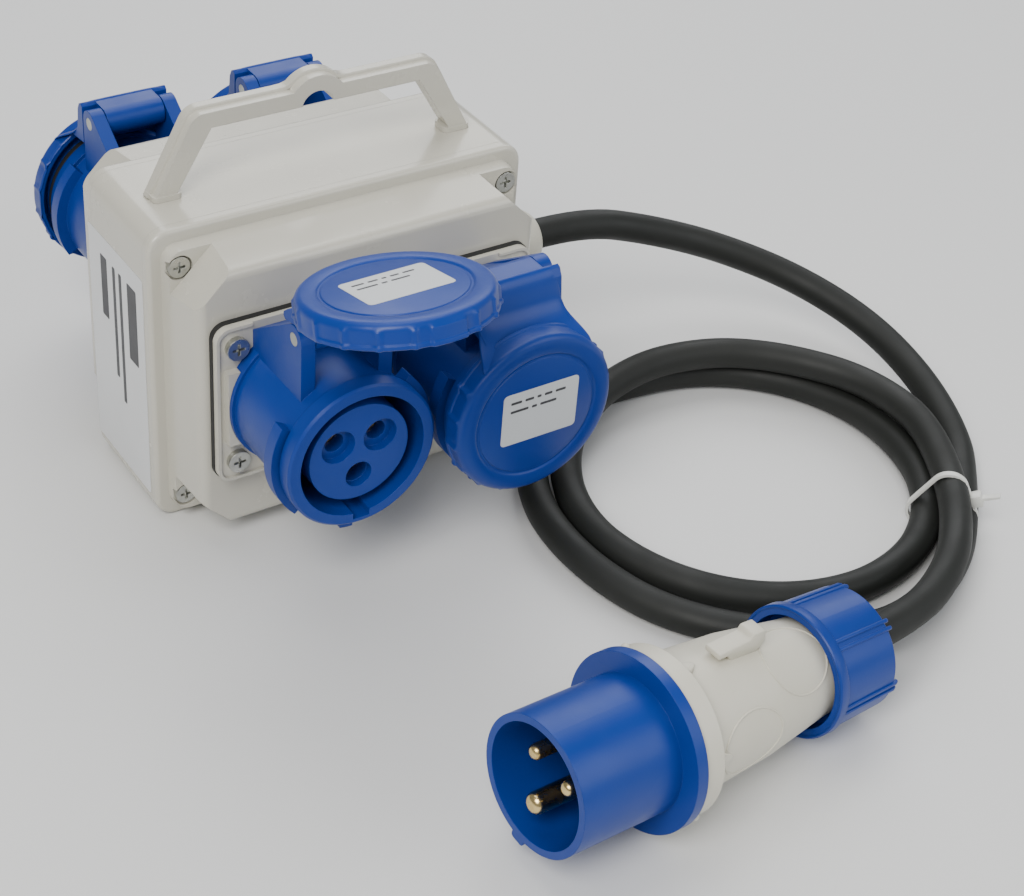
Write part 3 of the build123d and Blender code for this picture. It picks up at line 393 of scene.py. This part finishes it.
def join_rings(bm, rings, closed=False):
    """Quads between each ring of points and the next, with capped ends unless it is closed."""
    pairs = list(zip(rings, rings[1:]))
    if closed:
        pairs.append((rings[-1], rings[0]))
    for low, high in pairs:
        for index in range(len(low)):
            after = (index + 1) % len(low)
            bm.faces.new((low[index], low[after], high[after], high[index]))
    if not closed:
        bm.faces.new(rings[0][::-1])
        bm.faces.new(rings[-1])


def add_lathe(bm, profile, segments, reshape=None):
    """Turns a closed profile of (radius, height) points about Z. reshape gives another radius
    to the points off the axis, from their angle, radius and height."""
    rings = []
    for step in range(segments):
        angle = 2 * math.pi * step / segments
        ring = []
        for radius, height in profile:
            if reshape and radius > 0.0:
                radius = reshape(angle, radius, height)
            ring.append(bm.verts.new((radius * math.cos(angle), radius * math.sin(angle), height)))
        rings.append(ring)
    for step, ring in enumerate(rings):
        ahead = rings[(step + 1) % segments]
        for index in range(len(profile)):
            after = (index + 1) % len(profile)
            if profile[index][0] < 1e-6 and profile[after][0] < 1e-6:
                continue
            bm.faces.new((ring[index], ahead[index], ahead[after], ring[after]))


def add_prism(bm, outline, low, high):
    """A closed outline in XY between two heights."""
    join_rings(bm, [[bm.verts.new((x, y, height)) for x, y in outline] for height in (low, high)])


def rounded_rectangle(width, height, radius, centre=(0.0, 0.0), steps=5):
    """Its outline in XY, with this many steps round each corner."""
    points = []
    corners = ((1, 1), (-1, 1), (-1, -1), (1, -1))
    for quarter, (right, above) in enumerate(corners):
        for step in range(steps + 1):
            angle = math.radians(90 * (quarter + step / steps))
            x = centre[0] + right * (width / 2 - radius) + radius * math.cos(angle)
            y = centre[1] + above * (height / 2 - radius) + radius * math.sin(angle)
            points.append((x, y))
    return points


def bevel_edges(bm, width, least=35.0, segments=2):
    """Rounds the edges that turn by more than the least angle."""
    bmesh.ops.remove_doubles(bm, verts=bm.verts, dist=WELD)
    bmesh.ops.recalc_face_normals(bm, faces=bm.faces)
    edges = [e for e in bm.edges if e.is_manifold and e.calc_face_angle() > math.radians(least)]
    bmesh.ops.bevel(bm, geom=edges, offset=width, segments=segments, affect="EDGES", profile=0.5)


# ---- lids ------------------------------------------------------------------------------------
# Heights on a lid are out from its panel while it is closed.
RIM_RADIUS = 30.1
# Half the room between two lids' middles, less a little air.
LID_ROOM = SOCKET_X / MM - 0.1
# Finger grips: how far they stand out and, in degrees, their pitch, half their foot and half
# their flat top, the wide one opposite the hinge, and the stretch under the arm with none.
GRIP_HEIGHT = 0.75
GRIP_PITCH = 20.0
GRIP_HALF = 2.6
GRIP_FLAT = 0.9
WIDE_GRIP_AT = 270.0
WIDE_GRIP_HALF = 11.0
NO_GRIPS = (48.0, 132.0)
GRIP_TOP = 54.6
LABEL = (29.5, 20.5)
LABEL_CENTRE = (1.2, 1.2)
LABEL_HEIGHTS = (56.4, 56.62)
PRINT_HEIGHTS = (56.6, 56.64)
# Bars on the label: each row's widths, then the margin, the first row's height above the
# label's middle, the rows' pitch and the gap between bars.
PRINT_ROWS = ((4.2, 3.4, 1.6, 3.0, 4.0), (7.0, 2.0, 6.4))
PRINT_MARGIN = 3.0
PRINT_TOP = 6.4
PRINT_PITCH = 3.4
PRINT_GAP = 1.3
PRINT_BAR = 1.0
ARM_WALL = 0.9
ARM_COLUMNS = 12


def socket_matrix(lid):
    """Turns socket coordinates (sideways, up, out) into the frame's, in metres."""
    out = -1.0 if lid.startswith("front") else 1.0
    middle = -SOCKET_X if lid.endswith("left") else SOCKET_X
    turn = Matrix(((-out, 0, 0), (0, 0, out), (0, 1, 0))).to_4x4()
    return Matrix.Translation((middle, out * PANEL, SOCKET_Z)) @ turn


def lid_matrix(lid):
    """The same for a lid's middle, with the open lid turned back about its hinge pin."""
    to_middle = Matrix.Translation((0, LID_RISE, 0))
    if lid != OPEN_LID:
        return socket_matrix(lid) @ to_middle
    pin = Vector((0, PIN_RISE, PIN_OUT))
    swing = Matrix.Rotation(-LID_OPEN, 4, "X")
    return socket_matrix(lid) @ Matrix.Translation(pin) @ swing @ Matrix.Translation(-pin) @ to_middle


def grip_reach(angle, height):
    """How far the rim's finger grips stand out at this angle and height."""
    degrees = math.degrees(angle) % 360
    if height > GRIP_TOP or NO_GRIPS[0] < degrees < NO_GRIPS[1]:
        return 0.0
    if abs(degrees - WIDE_GRIP_AT) < WIDE_GRIP_HALF:
        return GRIP_HEIGHT
    away = abs((degrees - GRIP_PITCH / 2) % GRIP_PITCH)
    away = min(away, GRIP_PITCH - away)
    return GRIP_HEIGHT * max(0.0, 1.0 - max(0.0, away - GRIP_FLAT) / (GRIP_HALF - GRIP_FLAT))


def rim_radius(angle, radius, height):
    """A rim point's radius with the finger grips, kept clear of the next lid."""
    return min(radius + grip_reach(angle, height), LID_ROOM / max(abs(math.cos(angle)), 0.1))


def make_lid_rim(lid, materials):
    """The lid's face with its groove, its gripped rim and the bead at its skirt's edge."""
    profile = [
        (0.0, 56.50),
        (21.7, 56.50),
        (22.1, 56.38),
        (22.3, 56.08),
        (23.1, 56.06),
        (23.4, 56.45),
        (24.0, 56.70),
        (27.7, 56.70),
        (28.7, 56.46),
        (29.5, 55.85),
        (30.0, 55.1),
        (RIM_RADIUS, 54.2),
        (RIM_RADIUS, 50.4),
        (RIM_RADIUS + 0.45, 49.9),
        (RIM_RADIUS + 0.5, 48.9),
        (RIM_RADIUS + 0.1, 48.5),
        (29.6, 48.6),
        (29.6, 53.8),
        (28.0, 55.5),
        (0.0, 55.5),
    ]
    bm = bmesh.new()
    add_lathe(bm, profile, 240, rim_radius)
    place(f"lid_rim_{lid}", bm, lid_matrix(lid), materials, "blue_plastic", f"{lid}_cap", 32.0)


def make_lid_label(lid, materials):
    """A paper label with two rows of plain bars."""
    bm = bmesh.new()
    add_prism(bm, rounded_rectangle(*LABEL, 1.6, LABEL_CENTRE), *LABEL_HEIGHTS)
    place(f"lid_label_{lid}", bm, lid_matrix(lid), materials, "label", f"{lid}_cap")
    bm = bmesh.new()
    for row, bars in enumerate(PRINT_ROWS):
        start = LABEL_CENTRE[0] - LABEL[0] / 2 + PRINT_MARGIN
        for width in bars:
            middle = (start + width / 2, LABEL_CENTRE[1] + PRINT_TOP - PRINT_PITCH * row)
            add_prism(bm, rounded_rectangle(width, PRINT_BAR, 0.3, middle, 2), *PRINT_HEIGHTS)
            start += width + PRINT_GAP
    place(f"lid_print_{lid}", bm, lid_matrix(lid), materials, "ink", f"{lid}_cap")


def make_lid_arm(lid, materials):
    """A skin that flares from the hinge into the lid's face, with its side edges turned in."""
    # Up from the socket's middle, out from its panel, and half the arm's width.
    stations = [
        (44.3, 37.3, 16.5),
        (45.5, 37.9, 16.5),
        (45.2, 39.2, 16.5),
        (43.2, 40.9, 16.4),
        (39.5, 41.9, 16.2),
        (35.8, 42.6, 16.2),
        (32.6, 44.4, 16.8),
        (30.0, 47.4, 18.2),
        (27.9, 51.0, 19.8),
        (25.6, 54.6, 21.0),
        (23.6, 55.9, 21.4),
    ]
    bm = bmesh.new()
    rows = []
    for up, out, half in stations:
        row = []
        for column in range(ARM_COLUMNS + 1):
            share = 2 * column / ARM_COLUMNS - 1
            drop = 0.54 * abs(share) ** 8
            row.append(bm.verts.new((half * share, up - LID_RISE / MM - drop, out - drop)))
        rows.append(row)
    for low, high in zip(rows, rows[1:]):
        for column in range(ARM_COLUMNS):
            bm.faces.new((low[column], low[column + 1], high[column + 1], high[column]))
    piece = place(f"lid_arm_{lid}", bm, lid_matrix(lid), materials, "blue_plastic", f"{lid}_cap", 60.0)
    thick = piece.modifiers.new("wall", "SOLIDIFY")
    thick.thickness = ARM_WALL * MM
    thick.offset = -1.0
    rounder = piece.modifiers.new("rounder", "SUBSURF")
    rounder.levels = rounder.render_levels = 2


# ---- handle and sticker ------------------------------------------------------------------------
# The handle's outline as in the CAD source: its feet and its bar's ends, the corner between
# them, and the hump, whose middle is this far under the bar's top.
HANDLE_BASE = 114.0
HANDLE_TOP = 142.4
HANDLE_FOOT_X = 60.0
HANDLE_TOP_X = 45.0
HANDLE_CORNER = 6.0
HUMP_RADIUS = 11.5
HUMP_DROP = 7.0
RIDGE_HEIGHT = 1.0
STICKER = (43.0, 87.0)
STICKER_AT = (-0.071, 0.002, 0.0515)
STICKER_HEIGHTS = (-0.05, 0.12)
STICKER_INK_HEIGHTS = (0.1, 0.16)
# Upright bars on the sticker: place across it, width and length, all hung from one height.
STICKER_BARS = ((-12.5, 7.0, 30.0), (-3.5, 2.2, 52.0), (1.5, 2.2, 44.0), (9.5, 5.0, 24.0))
STICKER_PRINT_TOP = 36.0


def handle_outline():
    """Points of the handle's outer edge in XZ, from one foot over the hump to the other."""
    half_hump = math.sqrt(HUMP_RADIUS**2 - HUMP_DROP**2)
    slope = math.atan2(HANDLE_TOP - HANDLE_BASE, HANDLE_FOOT_X - HANDLE_TOP_X)
    run = HANDLE_CORNER * math.tan(slope / 2)
    half = [(HANDLE_FOOT_X, HANDLE_BASE)]
    for step in range(9):
        angle = math.pi / 2 - slope + slope * step / 8
        x = HANDLE_TOP_X - run + HANDLE_CORNER * math.cos(angle)
        half.append((x, HANDLE_TOP - HANDLE_CORNER + HANDLE_CORNER * math.sin(angle)))
    half.append((half_hump + 5.0, HANDLE_TOP))
    half.append((half_hump + 1.8, HANDLE_TOP + 0.15))
    top = math.acos(half_hump / HUMP_RADIUS)
    for step in range(1, 10):
        angle = top + (math.pi / 2 - top) * step / 9
        x = HUMP_RADIUS * math.cos(angle)
        half.append((x, HANDLE_TOP - HUMP_DROP + HUMP_RADIUS * math.sin(angle)))
    return [(-x, z) for x, z in half] + [(x, z) for x, z in half[-2::-1]]


def make_handle_ridge(materials):
    """The raised front half of the grip's outer face."""
    outline = handle_outline()
    # Across the case and out from the grip's face.
    front = [(-3.3, -0.4), (-3.2, 0.3), (-2.9, RIDGE_HEIGHT)]
    rear = [(0.1, RIDGE_HEIGHT), (0.55, 0.2), (0.6, -0.4)]
    bm = bmesh.new()
    rings = []
    for index, (x, z) in enumerate(outline):
        before = outline[max(index - 1, 0)]
        after = outline[min(index + 1, len(outline) - 1)]
        along = Vector((after[0] - before[0], after[1] - before[1])).normalized()
        ring = [bm.verts.new((x - along.y * out, y, z + along.x * out)) for y, out in front + rear]
        rings.append(ring)
    join_rings(bm, rings)
    place("handle_ridge", bm, Matrix.Identity(4), materials, "case_plastic", sharp=50.0)


def make_sticker(materials):
    """A sticker with plain bars on the case's end."""
    end = Matrix(((0, 0, -1), (1, 0, 0), (0, 1, 0))).to_4x4()
    where = Matrix.Translation(STICKER_AT) @ end
    bm = bmesh.new()
    add_prism(bm, rounded_rectangle(*STICKER, 1.5), *STICKER_HEIGHTS)
    place("end_sticker", bm, where, materials, "sticker")
    bm = bmesh.new()
    for across, width, length in STICKER_BARS:
        middle = (across, STICKER_PRINT_TOP - length / 2)
        add_prism(bm, rounded_rectangle(width, length, 0.5, middle, 2), *STICKER_INK_HEIGHTS)
    place("end_sticker_print", bm, where, materials, "ink")


# ---- plug details ------------------------------------------------------------------------------
# Distance behind the collar's mouth and radius there, along the plug's body.
BODY_STATIONS = ((41.0, 27.0), (49.0, 27.0), (51.0, 22.5), (80.0, 20.5), (105.5, 16.8), (116.0, 16.0))
NUT_FRONT_RADIUS = 21.4
# The oval finger grips: distance behind the mouth, degrees round the plug from its side, and
# half their length and width.
OVALS = ((92.5, 116, 13.0, 12.2), (66.5, 171, 12.8, 10.6), (92.5, -64, 13.0, 12.2), (66.5, -9, 12.8, 10.6))
OVAL_LINE = 0.00038
OVAL_STEPS = 48
HOOK_HALF = 3.2
# Nubs and catches are set by degrees round the plug.
NUBS = (51, 211)
NUB_RADIUS = 1.5
NUB_AT = (26.9, 0, 44.6)
CATCHES = (93, 168, 243, 348)
CATCH_HEIGHTS = (21.4, 24.2)
# Pins: degrees round the plug, radius and how far the tip stands behind the mouth.
PINS = ((30, 2.5, 3.4), (150, 2.5, 3.4), (270, 3.5, 0.6))
PIN_CIRCLE = 8.8
PIN_ROOT = 46.0
# Ribs on the nut: pairs round it, degrees to the first pair's middle and from there to each
# rib, half a rib's width and how deep it reaches into the nut.
RIB_PAIRS = 6
RIB_TURN = 4.0
RIB_SPREAD = 3.6
RIB_HALF = 0.7
RIB_ROOT = 0.8


def plug_radius(back):
    """The plug body's radius this far behind the collar's mouth."""
    for low, high in zip(BODY_STATIONS, BODY_STATIONS[1:]):
        if low[0] <= back <= high[0]:
            return low[1] + (high[1] - low[1]) * (back - low[0]) / (high[0] - low[0])
    return BODY_STATIONS[-1][1]


def nut_radius(back):
    """The nut's radius this far behind the collar's mouth."""
    share = (back * MM - NUT_START) / (NUT_END - NUT_START)
    return NUT_FRONT_RADIUS + (NUT_REAR_RADIUS / MM - NUT_FRONT_RADIUS) * share


def make_plug_ovals(materials):
    """Raised outlines of the oval finger grips on the plug's body."""
    curve = bpy.data.curves.new("plug_ovals", "CURVE")
    curve.dimensions = "3D"
    curve.bevel_depth = OVAL_LINE
    curve.bevel_resolution = 2
    to_frame = plug_matrix()
    for middle, turn, reach, width in OVALS:
        spline = curve.splines.new("POLY")
        spline.points.add(OVAL_STEPS - 1)
        for step in range(OVAL_STEPS):
            angle = 2 * math.pi * step / OVAL_STEPS
            back = middle + reach * math.cos(angle)
            radius = plug_radius(back)
            around = math.radians(turn) + width * math.sin(angle) / radius
            spot = Vector((radius * math.cos(around), radius * math.sin(around), back)) * MM
            spline.points[step].co = (*(to_frame @ spot), 1.0)
        spline.use_cyclic_u = True
    curve.materials.append(materials["gland_plastic"])
    piece = bpy.data.objects.new("plug_ovals", curve)
    bpy.context.scene.collection.objects.link(piece)
    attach(piece, CASE)
    return piece


def make_plug_hook(materials):
    """The bracket on top of the plug that a socket's lid catches."""
    # Distance behind the mouth and height above the plug's axis.
    side_view = [
        (63.5, 22.9),
        (63.5, 24.9),
        (76.0, 25.8),
        (77.0, 27.6),
        (82.0, 27.4),
        (83.0, 23.0),
        (80.0, 19.8),
        (69.0, 20.6),
        (67.5, 22.9),
    ]
    bm = bmesh.new()
    add_prism(bm, side_view, -HOOK_HALF, HOOK_HALF)
    bevel_edges(bm, 0.5)
    upright = Matrix(((0, 0, 1), (0, 1, 0), (1, 0, 0))).to_4x4()
    piece = place("plug_hook", bm, plug_matrix() @ upright, materials, "gland_plastic")
    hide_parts("plug_clip")
    return piece


def make_plug_nubs(materials):
    """Nubs on the white ring's front edge, and the catches that hold it to the body."""
    bm = bmesh.new()
    for turn in NUBS:
        at = Matrix.Rotation(math.radians(turn), 4, "Z") @ Matrix.Translation(NUB_AT)
        bmesh.ops.create_uvsphere(bm, u_segments=16, v_segments=10, radius=NUB_RADIUS, matrix=at)
    outline = [(-1.6, 48.6), (1.6, 48.6), (1.9, 52.4), (0.6, 55.0), (-0.9, 55.0), (-1.9, 52.4)]
    lay = Matrix(((0, 0, 1), (1, 0, 0), (0, 1, 0))).to_4x4()
    for turn in CATCHES:
        catch = bmesh.new()
        add_prism(catch, outline, *CATCH_HEIGHTS)
        bevel_edges(catch, 0.35)
        around = Matrix.Rotation(math.radians(turn), 4, "Z")
        bmesh.ops.transform(catch, matrix=around @ lay, verts=catch.verts)
        absorb(bm, catch)
    return place("plug_nubs", bm, plug_matrix(), materials, "gland_plastic")


def make_plug_pins(materials):
    """Two pole pins and the thicker earth pin, with domed tips."""
    bm = bmesh.new()
    for turn, radius, tip in PINS:
        profile = [(0.0, PIN_ROOT), (radius, PIN_ROOT)]
        dome = 0.8 * radius
        for step in range(9):
            angle = math.pi / 2 * step / 8
            profile.append((radius * math.cos(angle) ** 0.8, tip + dome * (1 - math.sin(angle))))
        profile[-1] = (0.0, tip)
        at = math.radians(turn)
        pin = bmesh.new()
        add_lathe(pin, profile, 40)
        spot = Vector((math.cos(at), math.sin(at), 0)) * PIN_CIRCLE
        bmesh.ops.translate(pin, vec=spot, verts=pin.verts)
        absorb(bm, pin)
    piece = place("plug_round_pins", bm, plug_matrix(PLUG_ROLL), materials, "contact_brass")
    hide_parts("plug_pins")
    return piece


def make_nut_ribs(materials):
    """Pairs of long ribs round the plug's nut, and the thicker rim at its front."""
    bm = bmesh.new()
    # Distance behind the mouth and how far the rib stands out of the nut there.
    stations = ((107.0, 0.3), (108.4, 0.55), (130.2, 0.6), (131.2, 0.2))
    for pair in range(RIB_PAIRS):
        for side in (-1, 1):
            angle = 360 / RIB_PAIRS * pair + RIB_TURN + side * RIB_SPREAD
            turn = Matrix.Rotation(math.radians(angle), 4, "Z")
            rings = []
            for back, rise in stations:
                outer = nut_radius(back) + rise
                inner = outer - rise - RIB_ROOT
                half = [(inner, RIB_HALF), (outer - 0.25, RIB_HALF - 0.08), (outer, RIB_HALF - 0.4)]
                section = [(reach, -across) for reach, across in half] + half[::-1]
                ring = [turn @ Vector((reach, across, back)) for reach, across in section]
                rings.append([bm.verts.new(spot) for spot in ring])
            join_rings(bm, rings)
    rim = [(20.9, 103.3), (21.5, 103.1), (22.0, 103.6), (22.05, 106.6), (21.6, 107.2), (20.9, 107.3)]
    add_lathe(bm, rim, 96)
    return place("plug_nut_ribs", bm, plug_matrix(), materials, "blue_plastic")


# ---- cable tie ---------------------------------------------------------------------------------
TIE_TURN = math.radians(-45.0)
TIE_WIDTH = 2.6
TIE_THICK = 1.0
TIE_HEAD_HALF = 2.2
# The three turns in the tie, in the tie's plane: out from the coil's middle, up, and the
# angles between which the strap lies on the turn.
TIED_TURNS = ((66.2, 5.9, 150, 270), (78.3, 5.9, 270, 380), (72.8, 16.9, 20, 150))


def tie_matrix():
    """The upright plane through the coil's middle: outwards, up, and along the cable."""
    out = Vector((math.cos(TIE_TURN), math.sin(TIE_TURN), 0.0))
    along = Vector((0, 0, 1)).cross(out)
    turn = Matrix((out, Vector((0, 0, 1)), -along)).transposed().to_4x4()
    return Matrix.Translation(COIL_CENTRE) @ turn


def tie_path():
    """The strap's inner face round the three turns, as points (outwards, up)."""
    radius = CABLE / 2 / MM + 0.1
    path = []
    for out, up, start, end in TIED_TURNS:
        for step in range(13):
            angle = math.radians(start + (end - start) * step / 12)
            height = max(up + radius * math.sin(angle), 0.05)
            path.append((out + radius * math.cos(angle), height))
    return path


def make_tie(materials):
    """A nylon strap round the three turns, with its head and a cut tail outside."""
    path = tie_path()
    half = TIE_WIDTH / 2
    section = ((0, -half), (TIE_THICK, -half + 0.2), (TIE_THICK, half - 0.2), (0, half))
    bm = bmesh.new()
    rings = []
    for index, (out, up) in enumerate(path):
        before = path[index - 1]
        after = path[(index + 1) % len(path)]
        along = Vector((after[0] - before[0], after[1] - before[1])).normalized()
        ring = []
        for thick, across in section:
            height = max(up - along.x * thick, 0.02)
            ring.append(bm.verts.new((out + along.y * thick, height, across)))
        rings.append(ring)
    join_rings(bm, rings, closed=True)
    head = bmesh.new()
    add_prism(head, [(82.2, 11.3), (86.0, 13.2), (83.9, 17.6), (80.2, 15.7)], -TIE_HEAD_HALF, TIE_HEAD_HALF)
    bevel_edges(head, 0.5)
    absorb(bm, head)
    tail = bmesh.new()
    add_prism(tail, [(84.6, 14.7), (91.0, 17.2), (90.7, 18.2), (84.3, 15.8)], -half, half)
    bevel_edges(tail, 0.15, segments=1)
    absorb(bm, tail)
    piece = place("tie_strap", bm, tie_matrix(), materials, "tie_nylon")
    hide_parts("cable_tie")
    return piece


# ---- stage -------------------------------------------------------------------------------------
FLOOR_HALF = 12.0


def make_light(name, spot, aim, size, power, tint=(1, 1, 1)):
    data = bpy.data.lights.new(name, "AREA")
    data.shape = "RECTANGLE"
    data.size, data.size_y = size
    data.energy = power
    data.color = tint
    light = bpy.data.objects.new(name, data)
    light.location = spot
    light.rotation_mode = "QUATERNION"
    light.rotation_quaternion = (Vector(aim) - Vector(spot)).to_track_quat("-Z", "Y")
    bpy.context.scene.collection.objects.link(light)


def make_stage():
    """A pale floor just under the object, four soft lights and a pale sky."""
    mesh = bpy.data.meshes.new("floor")
    corners = [(x * FLOOR_HALF, y * FLOOR_HALF, 0) for x, y in ((-1, -1), (1, -1), (1, 1), (-1, 1))]
    mesh.from_pydata(corners, [], [(0, 1, 2, 3)])
    floor = bpy.data.objects.new("floor", mesh)
    floor.location.z = -0.0002
    bpy.context.scene.collection.objects.link(floor)
    material, _, _, shader = new_material("floor_pale")
    shader.inputs["Base Color"].default_value = (0.72, 0.72, 0.71, 1.0)
    shader.inputs["Roughness"].default_value = 0.6
    mesh.materials.append(material)
    middle = (0.06, -0.08, 0.05)
    make_light("key", (-0.9, -0.75, 1.25), middle, (0.8, 0.8), 24.0, (1.0, 0.985, 0.96))
    make_light("fill", (0.9, -1.2, 0.8), middle, (1.2, 1.0), 9.0, (0.95, 0.97, 1.0))
    make_light("top", (0.1, 0.3, 1.5), middle, (1.2, 0.8), 8.0)
    make_light("sheen", (1.05, 1.2, 1.3), middle, (1.9, 1.3), 22.0, (0.97, 0.98, 1.0))
    world = bpy.data.worlds.new("studio")
    world.use_nodes = True
    world.node_tree.nodes["Background"].inputs["Color"].default_value = (0.85, 0.88, 0.92, 1.0)
    world.node_tree.nodes["Background"].inputs["Strength"].default_value = 0.32
    bpy.context.scene.world = world


make_camera()
materials = make_materials()
paint_cad_nodes(materials)
cable = make_cable(materials)
on_cord = [
    make_plug_ovals(materials),
    make_plug_hook(materials),
    make_plug_nubs(materials),
    make_nut_ribs(materials),
    make_tie(materials),
    make_plug_pins(materials),
    "plug_collar",
    "plug_insert",
    "plug_body",
    "plug_gland_nut",
    "plug_cable_seal",
    "plug_cable_end",
]
for lid in LIDS:
    make_lid_rim(lid, materials)
    make_lid_label(lid, materials)
    make_lid_arm(lid, materials)
make_handle_ridge(materials)
make_sticker(materials)
make_stage()
